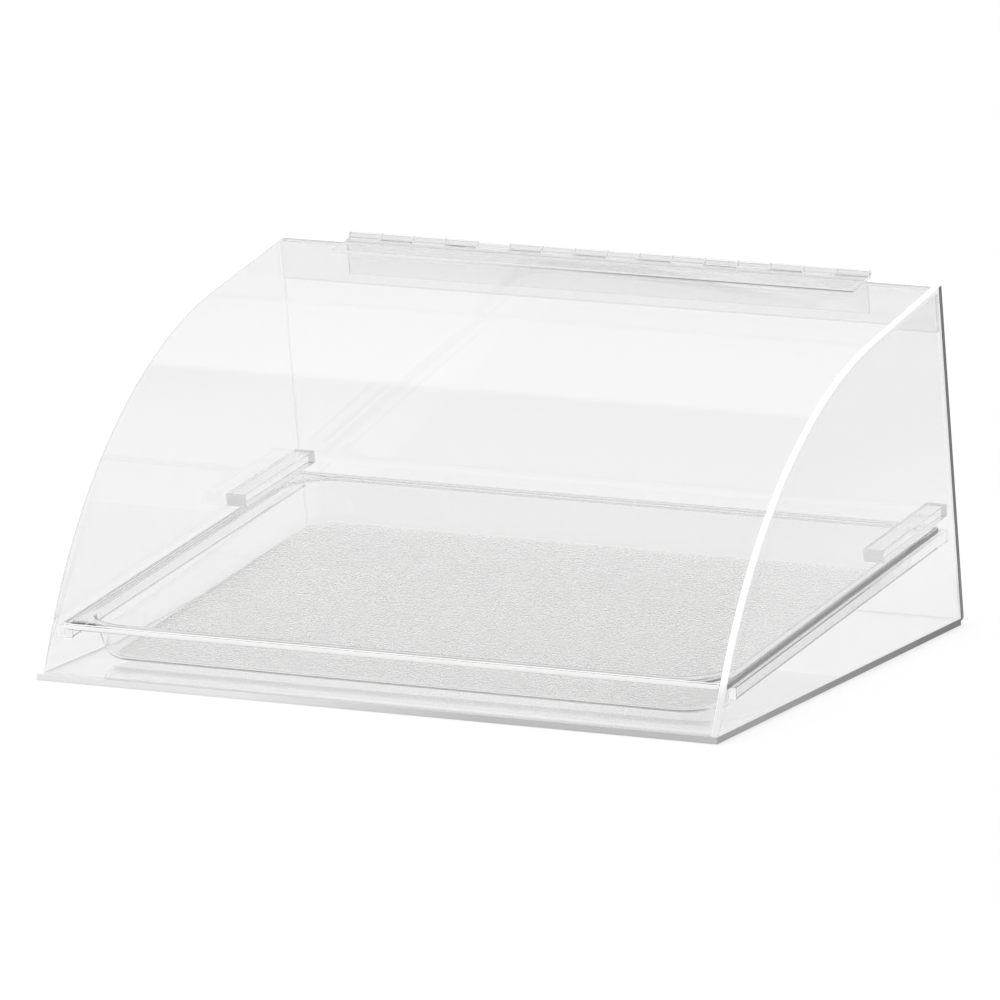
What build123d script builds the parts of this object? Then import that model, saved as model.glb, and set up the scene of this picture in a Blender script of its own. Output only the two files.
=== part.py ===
"""Countertop display case for baked goods, in clear sheet plastic.

A base, two flat sides and one curved front-and-roof sheet are bonded into a
case that is open at the back.  A door hangs over the opening from a knuckled
plastic hinge, and a shallow tray slides in on two sloping rails.

Millimetres.  +X is to the right seen from the front, +Y is to the back and
+Z is up.  The origin is under the middle of the whole case, on the counter.
"""

from build123d import *
from math import cos, radians, sin, tan
import os

# ---- the case, built round the tray --------------------------------------------
CASE_HEIGHT = 254.0       # counter to the roof's back edge
BASE_THICKNESS = 4.76
SIDE_THICKNESS = 4.76
FRONT_THICKNESS = 4.76    # the curved sheet
FRONT_ANGLE = 65.8        # degrees from level, at the foot of the curved sheet
FRONT_STRAIGHT = 25.2     # flat stretch of the curved sheet, from its foot to the bend
ROOF_SLOPE = 10.3         # degrees, rising to the back
BACK_LEAN = 9.6           # degrees, the open back leans forward
TRAY_SIDE_GAP = 2.74      # tray's rim to each side
TRAY_FRONT_INSET = 24.5   # front edge of the base to the front rim
TRAY_BACK_ROOM = 26.83    # back rim to the back edge of the base, level

# ---- the strip that hangs from the roof's back edge and keeps it straight -------
HEADER_THICKNESS = 4.76
HEADER_HEIGHT = 28.6      # below the curved sheet, down the open back

# ---- the door -----------------------------------------------------------------------
DOOR_THICKNESS = 4.76
DOOR_SEAT_GAP = 0.3       # between the door and the back edges it leans on
DOOR_TOP_GAP = 0.4        # below the hinge leaf that passes over the door
DOOR_FOOT_GAP = 1.0       # above the counter, behind the base
DOOR_CORNER_RADIUS = 4.0  # lower corners

# ---- the hinge ----------------------------------------------------------------------
KNUCKLE_COUNT = 16
KNUCKLE_PITCH = 25.8
KNUCKLE_GAP = 0.5         # between neighbouring knuckles
KNUCKLE_RADIUS = 2.8
LEAF_WIDTH = 31.0         # pin axis to the free edge of each leaf
LEAF_THICKNESS = 2.0
LEAF_NOTCH_CLEARANCE = 0.5
PIN_RADIUS = 1.2
PIN_CLEARANCE = 0.05      # radial, in the door leaf's knuckles; tight in the case leaf's

# ---- the tray -----------------------------------------------------------------------
TRAY_WIDTH = 510.0        # over the rim
TRAY_LENGTH = 381.0       # front rim to back rim, along the slope
TRAY_DEPTH = 31.75
TRAY_WALL = 2.5
TRAY_FLANGE = 10.0        # rim's outer edge to the mouth of the well
TRAY_LIP_HEIGHT = 4.5     # turned-down outer edge of the rim, from the rim's top
TRAY_LIP_WIDTH = 3.0
TRAY_DRAFT = 17.0         # degrees, slope of the walls from upright
TRAY_RIM_CORNER = 7.0     # outer corners of the rim
TRAY_MOUTH_CORNER = 33.0  # corners of the well's mouth
TRAY_FLOOR_FILLET = 10.0  # outer fillet between wall and floor
TRAY_MOUTH_FILLET = 1.5   # inner edge of the rim
TRAY_SLOPE = 6.34         # degrees, falling to the front
TRAY_FRONT_HEIGHT = 36.3  # counter to the top of the front rim

# ---- rails and hold-downs on the sides ----------------------------------------------
RAIL_WIDTH = 6.35
RAIL_HEIGHT = 9.5
RAIL_SEAT_GAP = 0.2       # between the rail and the lip of the tray's rim
RAIL_START = 10.5         # behind the front rim, along the slope
RAIL_OVERHANG = 5.0       # past the back rim
HOLD_DOWN_WIDTH = 16.0
HOLD_DOWN_HEIGHT = 9.5
HOLD_DOWN_GAP = 4.8       # above the rim
HOLD_DOWN_LENGTH = 115.0  # ends in line with the rail

# ---- places worked out from the sizes ---------------------------------------------
tray_tilt = radians(TRAY_SLOPE)
case_width = TRAY_WIDTH + 2 * (TRAY_SIDE_GAP + SIDE_THICKNESS)
base_depth = TRAY_FRONT_INSET + TRAY_LENGTH * cos(tray_tilt) + TRAY_BACK_ROOM
lean = radians(BACK_LEAN)
slope = radians(ROOF_SLOPE)
steep = radians(FRONT_ANGLE)

# unit vectors in the side view, as (Y, Z)
back_down = Vector(sin(lean), -cos(lean))
back_out = Vector(cos(lean), sin(lean))
roof_forward = Vector(-cos(slope), -sin(slope))
roof_out = Vector(-sin(slope), cos(slope))
front_up = Vector(cos(steep), sin(steep))
front_in = Vector(sin(steep), -cos(steep))

# the door runs down past the base's back edge; its outer foot is the rearmost point
door_drop = (BASE_THICKNESS - DOOR_FOOT_GAP + DOOR_SEAT_GAP * sin(lean)) / cos(lean)
door_reach = (DOOR_SEAT_GAP + DOOR_THICKNESS) * cos(lean) + door_drop * sin(lean)
front_y = -(base_depth + door_reach) / 2
inner_half_width = case_width / 2 - SIDE_THICKNESS


def meet(point_a, along_a, point_b, along_b):
    """Where two lines of the side view cross."""
    cross = along_a.X * along_b.Y - along_a.Y * along_b.X
    step = point_b - point_a
    return point_a + along_a * ((step.X * along_b.Y - step.Y * along_b.X) / cross)


front_foot = Vector(front_y, BASE_THICKNESS)
back_foot = Vector(front_y + base_depth, BASE_THICKNESS)
roof_back = back_foot - back_down * ((CASE_HEIGHT - BASE_THICKNESS) / cos(lean))
brow = meet(front_foot, front_up, roof_back, roof_forward)

# the bend takes up what the flat stretch leaves of the front line
half_turn = (steep - slope) / 2
bend_radius = ((brow - front_foot).length - FRONT_STRAIGHT) / tan(half_turn)

# the same lines on the inner face of the curved sheet
inner_foot = meet(front_foot + front_in * FRONT_THICKNESS, front_up, front_foot, Vector(1, 0))
inner_roof_back = meet(roof_back - roof_out * FRONT_THICKNESS, roof_forward, back_foot, back_down)
inner_brow = meet(inner_foot, front_up, inner_roof_back, roof_forward)

# the door's outer face, and the hinge pin that stands off both outer faces
door_face = roof_back + back_out * (DOOR_SEAT_GAP + DOOR_THICKNESS)
pin_centre = meet(
    roof_back + roof_out * KNUCKLE_RADIUS, roof_forward,
    door_face + back_out * KNUCKLE_RADIUS, back_down,
)
hinge_length = KNUCKLE_COUNT * KNUCKLE_PITCH
hinge_start = -hinge_length / 2


def on_side_view(point):
    """A side-view point as the (Y, Z) pair of a YZ sketch."""
    return (point.X, point.Y)


def polygon(*corners):
    """A filled polygon through side-view points, for the sketch that is open."""
    with BuildSketch() as outline:
        with BuildLine():
            Polyline(*map(on_side_view, corners), close=True)
        make_face()
    return outline.sketch_local


def bent_outline(foot, corner, back, radius, *rest):
    """A filled outline whose first corner is a bend and whose others are sharp."""
    with BuildSketch() as outline:
        with BuildLine():
            FilletPolyline(*map(on_side_view, (foot, corner, back)), radius=radius)
            Polyline(*map(on_side_view, (back, *rest, foot)))
        make_face()
    return outline.sketch_local


side_outline = bent_outline(front_foot, brow, roof_back, bend_radius, back_foot)

# the hollow runs past the foot and the back so that it cuts them clean
hollow_foot = inner_foot - front_up * FRONT_THICKNESS
hollow_back = inner_roof_back - roof_forward * FRONT_THICKNESS
hollow_corner = back_foot + Vector(FRONT_THICKNESS, -FRONT_THICKNESS)
hollow_radius = bend_radius - FRONT_THICKNESS
hollow_outline = bent_outline(hollow_foot, inner_brow, hollow_back, hollow_radius, hollow_corner)


# ---- base ---------------------------------------------------------------------------
with BuildPart() as base_panel:
    with BuildSketch(Plane.XY):
        with Locations((0, front_y + base_depth / 2)):
            Rectangle(case_width, base_depth)
    extrude(amount=BASE_THICKNESS)

# ---- flat sides ---------------------------------------------------------------------
with BuildPart() as left_side_panel:
    with BuildSketch(Plane.YZ.offset(-case_width / 2)):
        add(side_outline)
    extrude(amount=SIDE_THICKNESS)

with BuildPart() as right_side_panel:
    with BuildSketch(Plane.YZ.offset(inner_half_width)):
        add(side_outline)
    extrude(amount=SIDE_THICKNESS)

# ---- curved front and roof, between the sides -----------------------------------------
with BuildPart() as curved_front_panel:
    with BuildSketch(Plane.YZ.offset(-inner_half_width)):
        add(side_outline)
        add(hollow_outline, mode=Mode.SUBTRACT)
    extrude(amount=2 * inner_half_width)

# ---- stiffening strip across the top of the open back, between the sides ------------------
header_back_foot = inner_roof_back + back_down * HEADER_HEIGHT
header_front_foot = header_back_foot - back_out * HEADER_THICKNESS
header_front_top = meet(header_front_foot, back_down, inner_roof_back, roof_forward)
with BuildPart() as roof_stiffener_bar:
    with BuildSketch(Plane.YZ.offset(-inner_half_width)):
        add(polygon(inner_roof_back, header_front_top, header_front_foot, header_back_foot))
    extrude(amount=2 * inner_half_width)

# ---- rear door, hanging against the back edges --------------------------------------------
door_top_drop = DOOR_TOP_GAP / cos(slope - lean)
door_inner_top = roof_back + back_out * DOOR_SEAT_GAP
door_cut_top = meet(roof_back - roof_out * door_top_drop, roof_forward, door_inner_top, back_down)
door_cut_outer = meet(roof_back - roof_out * door_top_drop, roof_forward, door_face, back_down)
door_inner_foot = back_foot + back_out * DOOR_SEAT_GAP + back_down * door_drop
door_outer_foot = door_inner_foot + back_out * DOOR_THICKNESS
with BuildPart() as rear_door_panel:
    with BuildSketch(Plane.YZ.offset(-case_width / 2)):
        add(polygon(door_cut_top, door_cut_outer, door_outer_foot, door_inner_foot))
    extrude(amount=case_width)
    lower_corners = rear_door_panel.edges().filter_by(
        lambda edge: abs(edge.length - DOOR_THICKNESS) < 1e-3
        and edge.center().Z < CASE_HEIGHT / 2
    )
    fillet(lower_corners, radius=DOOR_CORNER_RADIUS)


# ---- hinge --------------------------------------------------------------------------------
def leaf_plate(inward, along):
    """Section of a leaf's flat plate, from the pin axis to its free edge."""
    root = pin_centre - inward * KNUCKLE_RADIUS
    edge = root + along * LEAF_WIDTH
    lift = inward * LEAF_THICKNESS
    return polygon(root, edge, edge + lift, root + lift)


def leaf_notch(inward, along):
    """Section of the room that a leaf leaves round the other leaf's knuckles."""
    reach = KNUCKLE_RADIUS + LEAF_NOTCH_CLEARANCE
    near = pin_centre - along * reach
    far = pin_centre + along * reach
    return polygon(near - inward * reach, far - inward * reach, far, near)


knuckle_starts = [hinge_start + index * KNUCKLE_PITCH for index in range(KNUCKLE_COUNT)]
case_knuckles = knuckle_starts[0::2]
door_knuckles = knuckle_starts[1::2]
knuckle_length = KNUCKLE_PITCH - KNUCKLE_GAP
notch_length = KNUCKLE_PITCH + KNUCKLE_GAP
pin_place = on_side_view(pin_centre)

with BuildPart() as hinge_case_leaf:
    with BuildSketch(Plane.YZ.offset(hinge_start + KNUCKLE_GAP / 2)):
        add(leaf_plate(roof_out, roof_forward))
    extrude(amount=hinge_length - KNUCKLE_GAP)
    for start in door_knuckles:
        with BuildSketch(Plane.YZ.offset(start - KNUCKLE_GAP / 2)):
            add(leaf_notch(roof_out, roof_forward))
        extrude(amount=notch_length, mode=Mode.SUBTRACT)
    for start in case_knuckles:
        with BuildSketch(Plane.YZ.offset(start + KNUCKLE_GAP / 2)):
            with Locations(pin_place):
                Circle(KNUCKLE_RADIUS)
        extrude(amount=knuckle_length)
    with BuildSketch(Plane.YZ.offset(hinge_start)):
        with Locations(pin_place):
            Circle(PIN_RADIUS)
    extrude(amount=hinge_length, mode=Mode.SUBTRACT)

with BuildPart() as hinge_door_leaf:
    with BuildSketch(Plane.YZ.offset(hinge_start + KNUCKLE_GAP / 2)):
        add(leaf_plate(back_out, back_down))
    extrude(amount=hinge_length - KNUCKLE_GAP)
    for start in case_knuckles:
        with BuildSketch(Plane.YZ.offset(start - KNUCKLE_GAP / 2)):
            add(leaf_notch(back_out, back_down))
        extrude(amount=notch_length, mode=Mode.SUBTRACT)
    for start in door_knuckles:
        with BuildSketch(Plane.YZ.offset(start + KNUCKLE_GAP / 2)):
            with Locations(pin_place):
                Circle(KNUCKLE_RADIUS)
        extrude(amount=knuckle_length)
    with BuildSketch(Plane.YZ.offset(hinge_start)):
        with Locations(pin_place):
            Circle(PIN_RADIUS + PIN_CLEARANCE)
    extrude(amount=hinge_length, mode=Mode.SUBTRACT)

with BuildPart() as hinge_pin:
    with BuildSketch(Plane.YZ.offset(hinge_start + KNUCKLE_GAP / 2)):
        with Locations(pin_place):
            Circle(PIN_RADIUS)
    extrude(amount=hinge_length - KNUCKLE_GAP)

# ---- tray ---------------------------------------------------------------------------------
tray_plane = Plane(
    origin=(0, front_y + TRAY_FRONT_INSET, TRAY_FRONT_HEIGHT),
    x_dir=(1, 0, 0),
    z_dir=(0, -sin(tray_tilt), cos(tray_tilt)),
)
tray_middle = (0, TRAY_LENGTH / 2)
mouth_width = TRAY_WIDTH - 2 * TRAY_FLANGE
mouth_length = TRAY_LENGTH - 2 * TRAY_FLANGE
draft_wall = TRAY_WALL / cos(radians(TRAY_DRAFT))
well_width = mouth_width + 2 * draft_wall
well_length = mouth_length + 2 * draft_wall


rim_inner_width = TRAY_WIDTH - 2 * TRAY_LIP_WIDTH
rim_inner_length = TRAY_LENGTH - 2 * TRAY_LIP_WIDTH
well_depth = TRAY_DEPTH - TRAY_WALL

with BuildPart() as tray_cavity:
    with BuildSketch(tray_plane):
        with Locations(tray_middle):
            RectangleRounded(mouth_width, mouth_length, TRAY_MOUTH_CORNER)
    extrude(amount=-well_depth, taper=TRAY_DRAFT)
    cavity_floor = tray_cavity.faces().sort_by(Axis((0, 0, 0), tray_plane.z_dir))[0]
    fillet(cavity_floor.edges(), radius=TRAY_FLOOR_FILLET - TRAY_WALL)

with BuildPart() as display_tray:
    with BuildSketch(tray_plane):
        with Locations(tray_middle):
            RectangleRounded(well_width, well_length, TRAY_MOUTH_CORNER + draft_wall)
    extrude(amount=-TRAY_DEPTH, taper=TRAY_DRAFT)
    tray_floor = display_tray.faces().sort_by(Axis((0, 0, 0), tray_plane.z_dir))[0]
    fillet(tray_floor.edges(), radius=TRAY_FLOOR_FILLET)
    with BuildSketch(tray_plane):
        with Locations(tray_middle):
            RectangleRounded(TRAY_WIDTH, TRAY_LENGTH, TRAY_RIM_CORNER)
    extrude(amount=-TRAY_WALL)
    with BuildSketch(tray_plane):
        with Locations(tray_middle):
            RectangleRounded(TRAY_WIDTH, TRAY_LENGTH, TRAY_RIM_CORNER)
            RectangleRounded(
                rim_inner_width,
                rim_inner_length,
                TRAY_RIM_CORNER - TRAY_LIP_WIDTH,
                mode=Mode.SUBTRACT,
            )
    extrude(amount=-TRAY_LIP_HEIGHT)
    add(tray_cavity.part, mode=Mode.SUBTRACT)
    rim_top = display_tray.faces().sort_by(Axis((0, 0, 0), tray_plane.z_dir))[-1]
    fillet(rim_top.inner_wires()[0].edges(), radius=TRAY_MOUTH_FILLET)

# ---- rails that carry the rim, and hold-downs that stop the tray tipping ------------------
rail_top = -(TRAY_LIP_HEIGHT + RAIL_SEAT_GAP)
rail_centre_x = inner_half_width - RAIL_WIDTH / 2
rail_end = TRAY_LENGTH + RAIL_OVERHANG
rail_centre_y = (RAIL_START + rail_end) / 2
rail_length = rail_end - RAIL_START
hold_down_centre_x = inner_half_width - HOLD_DOWN_WIDTH / 2
hold_down_centre_y = rail_end - HOLD_DOWN_LENGTH / 2

with BuildPart() as left_tray_rail:
    with BuildSketch(tray_plane.offset(rail_top)):
        with Locations((-rail_centre_x, rail_centre_y)):
            Rectangle(RAIL_WIDTH, rail_length)
    extrude(amount=-RAIL_HEIGHT)

with BuildPart() as right_tray_rail:
    with BuildSketch(tray_plane.offset(rail_top)):
        with Locations((rail_centre_x, rail_centre_y)):
            Rectangle(RAIL_WIDTH, rail_length)
    extrude(amount=-RAIL_HEIGHT)

with BuildPart() as left_hold_down:
    with BuildSketch(tray_plane.offset(HOLD_DOWN_GAP)):
        with Locations((-hold_down_centre_x, hold_down_centre_y)):
            Rectangle(HOLD_DOWN_WIDTH, HOLD_DOWN_LENGTH)
    extrude(amount=HOLD_DOWN_HEIGHT)

with BuildPart() as right_hold_down:
    with BuildSketch(tray_plane.offset(HOLD_DOWN_GAP)):
        with Locations((hold_down_centre_x, hold_down_centre_y)):
            Rectangle(HOLD_DOWN_WIDTH, HOLD_DOWN_LENGTH)
    extrude(amount=HOLD_DOWN_HEIGHT)

# ---- one file for each piece ----------------------------------------------------------------
pieces = {
    "base_panel": base_panel,
    "left_side_panel": left_side_panel,
    "right_side_panel": right_side_panel,
    "curved_front_panel": curved_front_panel,
    "roof_stiffener_bar": roof_stiffener_bar,
    "rear_door_panel": rear_door_panel,
    "hinge_case_leaf": hinge_case_leaf,
    "hinge_door_leaf": hinge_door_leaf,
    "hinge_pin": hinge_pin,
    "display_tray": display_tray,
    "left_tray_rail": left_tray_rail,
    "right_tray_rail": right_tray_rail,
    "left_hold_down": left_hold_down,
    "right_hold_down": right_hold_down,
}

os.makedirs("parts", exist_ok=True)
for name, piece in pieces.items():
    piece.part.label = name
    export_step(piece.part, f"parts/{name}.step")

print(f"pin axis at Y {pin_centre.X:.4f}, Z {pin_centre.Y:.4f}; front at Y {front_y:.4f}")
print(f"case {case_width:.3f} wide, base {base_depth:.3f} deep, bend radius {bend_radius:.2f}")
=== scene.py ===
"""Looks of the countertop bread display bin: a clear case, its door, hinge and tray.

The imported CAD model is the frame.  Every piece below is drawn in the CAD's own
place, in millimetres, and turned into metres as its mesh is made.
"""

import logging
import math
from dataclasses import dataclass, replace
from enum import Enum
from typing import Any, Callable, Iterable, Sequence

import bmesh
import bpy
from mathutils import Matrix, Vector


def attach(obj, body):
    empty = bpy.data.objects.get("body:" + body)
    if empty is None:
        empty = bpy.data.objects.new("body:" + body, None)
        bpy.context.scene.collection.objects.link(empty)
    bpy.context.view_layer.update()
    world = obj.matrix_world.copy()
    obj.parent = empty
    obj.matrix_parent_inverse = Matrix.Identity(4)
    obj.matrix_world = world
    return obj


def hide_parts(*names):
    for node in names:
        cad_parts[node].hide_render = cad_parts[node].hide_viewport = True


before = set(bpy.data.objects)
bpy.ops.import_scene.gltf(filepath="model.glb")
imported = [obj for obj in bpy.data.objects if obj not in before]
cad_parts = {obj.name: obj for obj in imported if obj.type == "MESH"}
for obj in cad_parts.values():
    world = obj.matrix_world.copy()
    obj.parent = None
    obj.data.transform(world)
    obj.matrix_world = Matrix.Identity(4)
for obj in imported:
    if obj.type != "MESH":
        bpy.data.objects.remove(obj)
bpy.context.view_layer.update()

MM = 0.001
FRONT = -217.8167  # the case's front edge along Y, in millimetres
LOG = logging.getLogger("bread_bin")

YZ = tuple[float, float]
Run = tuple[float, float]
Spot = tuple[float, float, float]
Colour = tuple[float, float, float]

# shares of a face's normal that lie along a way, from roughly that way to just that way
BARELY = 0.1
SLIGHTLY = 0.3
MAINLY = 0.5
MOSTLY = 0.7
SQUARELY = 0.9
CLOSELY = 0.95
EXACTLY = 0.999


def grey(level: float) -> Colour:
    """A neutral colour."""
    return level, level, level


# ---------------------------------------------------------------------------
# shader maths
# ---------------------------------------------------------------------------
class Signal:
    """A shader socket that can be added, multiplied and compared in Python."""

    def __init__(self, shop: "NodeShop", socket: bpy.types.NodeSocket) -> None:
        """Wrap one output socket.

        Args:
            shop: the maker that adds the nodes.
            socket: the output socket to wrap.
        """
        self.shop = shop
        self.socket = socket

    def _math(self, operation: str, *values: Any) -> "Signal":
        """One Math node fed with the given values."""
        return self.shop.node("ShaderNodeMath", {"operation": operation}, dict(enumerate(values)))

    def __add__(self, other: Any) -> "Signal":
        """Sum."""
        return self._math("ADD", self, other)

    __radd__ = __add__

    def __mul__(self, other: Any) -> "Signal":
        """Product."""
        return self._math("MULTIPLY", self, other)

    __rmul__ = __mul__

    def __sub__(self, other: Any) -> "Signal":
        """Difference."""
        return self._math("SUBTRACT", self, other)

    def __rsub__(self, other: Any) -> "Signal":
        """Difference, the other way round."""
        return self._math("SUBTRACT", other, self)

    def __truediv__(self, other: Any) -> "Signal":
        """Quotient."""
        return self._math("DIVIDE", self, other)

    def __rtruediv__(self, other: Any) -> "Signal":
        """Quotient, the other way round."""
        return self._math("DIVIDE", other, self)

    def __gt__(self, other: Any) -> "Signal":
        """1 where this is larger, else 0."""
        return self._math("GREATER_THAN", self, other)

    def at_least(self, other: Any) -> "Signal":
        """The larger of the two."""
        return self._math("MAXIMUM", self, other)


class NodeShop:
    """Adds the nodes of one shader tree."""

    def __init__(self, tree: bpy.types.NodeTree) -> None:
        """Empty the tree and keep it.

        Args:
            tree: the material's or the world's node tree.
        """
        self.tree = tree
        tree.nodes.clear()

    def node(
        self,
        kind: str,
        settings: dict[str, Any] | None = None,
        values: dict[Any, Any] | None = None,
        output: Any = 0,
    ) -> Signal:
        """Add one node.

        Args:
            kind: the node's type.
            settings: plain settings, made before its sockets are filled.
            values: input name or number to a value or a Signal.
            output: name or number of the output to give back.

        Returns:
            The chosen output.
        """
        made = self.tree.nodes.new(kind)
        for key, value in (settings or {}).items():
            if key == "stops":
                self._set_stops(made, value)
            else:
                setattr(made, key, value)
        for key, value in (values or {}).items():
            self._fill(made.inputs[key], value)
        return Signal(self, made.outputs[output]) if made.outputs else None

    def _fill(self, socket: bpy.types.NodeSocket, value: Any) -> None:
        """Link or set one input.

        Args:
            socket: the input to fill.
            value: a Signal to link, or a plain value.
        """
        if isinstance(value, Signal):
            self.tree.links.new(value.socket, socket)
        elif socket.type == "RGBA":
            socket.default_value = (*value, 1.0)
        else:
            socket.default_value = value

    @staticmethod
    def _set_stops(ramp: bpy.types.Node, stops: Sequence[tuple[float, float]]) -> None:
        """Give a colour ramp grey stops, as (position, level).

        Args:
            ramp: the ramp's node.
            stops: its stops, in order.
        """
        elements = ramp.color_ramp.elements
        while len(elements) > 1:
            elements.remove(elements[-1])
        for index, (position, level) in enumerate(stops):
            element = elements[0] if index == 0 else elements.new(position)
            element.position = position
            element.color = (*grey(level), 1.0)

    def place(self, scale: Sequence[float] = (1, 1, 1)) -> Signal:
        """Object coordinates, stretched by a scale."""
        spot = self.node("ShaderNodeTexCoord", output="Object")
        return self.node("ShaderNodeMapping", None, {"Vector": spot, "Scale": tuple(scale)})

    def noise(self, spot: Signal, scale: float, detail: float = 2.0, rough: float = 0.5) -> Signal:
        """Grey noise of a scale, in repeats per metre."""
        values = {"Vector": spot, "Scale": scale, "Detail": detail, "Roughness": rough}
        return self.node("ShaderNodeTexNoise", None, values, "Fac")

    def between(self, share: Signal, low: float, high: float, run: Run = (0.0, 1.0)) -> Signal:
        """Map a signal from a run of its own values, 0 to 1 if none is named, on a range."""
        values = {"Value": share, "From Min": run[0], "From Max": run[1], "To Min": low, "To Max": high}
        return self.node("ShaderNodeMapRange", None, values, "Result")

    def blend(self, share: Signal, first: Any, second: Any) -> Signal:
        """Mix two colours by a share."""
        settings = {"data_type": "RGBA"}
        return self.node("ShaderNodeMix", settings, {0: share, 6: first, 7: second}, 2)

    def bump(self, height: Signal, distance: float) -> Signal:
        """A normal from a height, with its depth in metres."""
        return self.node("ShaderNodeBump", None, {"Height": height, "Distance": distance})

    def part(self, spot: Signal, axis: int) -> Signal:
        """One of a vector's three numbers."""
        return self.node("ShaderNodeSeparateXYZ", None, {0: spot}, axis)

    def close(self, shader: Signal) -> None:
        """Link the shader to the tree's output."""
        kind = "ShaderNodeOutputMaterial" if self._is_material() else "ShaderNodeOutputWorld"
        self.node(kind, None, {"Surface": shader})

    def _is_material(self) -> bool:
        """True for a material's tree."""
        return any(material.node_tree == self.tree for material in bpy.data.materials)


# ---------------------------------------------------------------------------
# finishes
# ---------------------------------------------------------------------------
SHEET_BEND = 1.49
TRAY_BEND = 1.55


@dataclass(frozen=True)
class ClearFinish:
    """A clear plastic that lets lamps through and bends what is seen through it."""

    name: str
    tint: Colour = grey(0.975)
    shade: Colour = grey(0.985)
    bend: float = SHEET_BEND
    haze: float = 0.0
    smear: float = 0.02
    smear_scale: float = 22.0
    smear_stretch: Spot = (1.0, 0.35, 1.0)
    wave_depth: float = 0.00001
    wave_scale: float = 9.0

    def relief(self, shop: NodeShop) -> Signal:
        """The slow waviness of a drawn or moulded face."""
        slow = shop.noise(shop.place(), self.wave_scale, 1.0)
        return shop.bump(slow, self.wave_depth)

    def gloss(self, shop: NodeShop) -> Signal:
        """Roughness, a little higher where a cloth has wiped it."""
        wiped = shop.noise(shop.place(self.smear_stretch), self.smear_scale, 4.0, 0.6)
        return shop.between(wiped, self.haze, self.haze + self.smear)

    def build(self) -> bpy.types.Material:
        """Make the material.

        Returns:
            A clear material whose walls cast only a faint shadow.
        """
        material = bpy.data.materials.new(self.name)
        material.use_nodes = True
        shop = NodeShop(material.node_tree)
        plastic = shop.node(
            "ShaderNodeBsdfPrincipled",
            None,
            {
                "Base Color": self.tint,
                "Roughness": self.gloss(shop),
                "IOR": self.bend,
                "Transmission Weight": 1.0,
                "Normal": self.relief(shop),
            },
        )
        open_way = shop.node("ShaderNodeBsdfTransparent", None, {"Color": self.shade})
        shadow = shop.node("ShaderNodeLightPath", None, None, "Is Shadow Ray")
        spread = shop.node("ShaderNodeLightPath", None, None, "Is Diffuse Ray")
        mixed = shop.node(
            "ShaderNodeMixShader", None, {0: shadow.at_least(spread), 1: plastic, 2: open_way}
        )
        shop.close(mixed)
        return material


@dataclass(frozen=True)
class PebbledFinish(ClearFinish):
    """Clear moulded plastic with a pebbled skin that hides knife marks."""

    pebble_scale: float = 700.0
    pebble_depth: float = 0.00018
    uneven_scale: float = 0.45
    uneven_share: float = 0.5

    def relief(self, shop: NodeShop) -> Signal:
        """Small round pebbles of uneven size.

        Args:
            shop: the maker that adds the nodes.

        Returns:
            The normal.
        """
        spot = shop.place()
        settings = {"feature": "SMOOTH_F1"}
        values = {"Vector": spot, "Scale": self.pebble_scale, "Smoothness": 0.6}
        cells = shop.node("ShaderNodeTexVoronoi", settings, values, "Distance")
        uneven = shop.noise(spot, self.pebble_scale * self.uneven_scale)
        return shop.bump(cells + uneven * self.uneven_share, self.pebble_depth)


@dataclass(frozen=True)
class PaintedEdgeShadeAndGlow:
    """The cut edge of a clear sheet, painted: its grey is painted shade and its glow is painted light,
    in place of the light that the sheet carries to its edge.

    Its grey runs from near to far over a fade, which is an axis and two places along it in
    metres; the fade is painted shade along the edge.  Above the ceiling it stays near.
    """

    name: str
    near: float
    far: float | None = None
    fade: tuple[int, float, float] = (0, -1.0, 1.0)
    # painted light: an emission that makes the edge glow, though it is no lamp
    glow: float = 0.0
    passing: float = 0.0
    ceiling: float = 10.0
    roughness: float = 0.3
    grain: Spot = (900.0, 60.0, 60.0)
    depth: float = 0.00002
    drift_scale: float = 14.0
    run_share: float = 0.8
    mark_share: float = 0.08
    drift_share: float = 0.12

    def build(self) -> bpy.types.Material:
        """Make the material.

        Returns:
            A satin edge with fine saw marks along it, its grey painted shade and its emission painted
            light.
        """
        material = bpy.data.materials.new(self.name)
        material.use_nodes = True
        shop = NodeShop(material.node_tree)
        marks = shop.noise(shop.place(self.grain), 1.0, 3.0, 0.6)
        drift = shop.noise(shop.place(), self.drift_scale)
        axis, start, end = self.fade
        run = shop.between(shop.part(shop.place(), axis), 0.0, 1.0, (start, end))
        rise = shop.part(shop.place(), 2)
        share = run * self.run_share + marks * self.mark_share + drift * self.drift_share
        share = share * (self.ceiling - rise > 0.0)
        far = self.near if self.far is None else self.far
        # painted shade and painted light: this grey colours both the edge and its glow
        colour = shop.blend(share, grey(self.near), grey(far))
        shader = shop.node(
            "ShaderNodeBsdfPrincipled",
            None,
            {
                "Base Color": colour,
                "Roughness": shop.between(marks, self.roughness * 0.8, self.roughness * 1.25),
                "IOR": SHEET_BEND,
                "Transmission Weight": self.passing,
                "Emission Color": colour,
                "Emission Strength": self.glow,
                "Normal": shop.bump(marks, self.depth),
            },
        )
        shop.close(shader)
        return material


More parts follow.
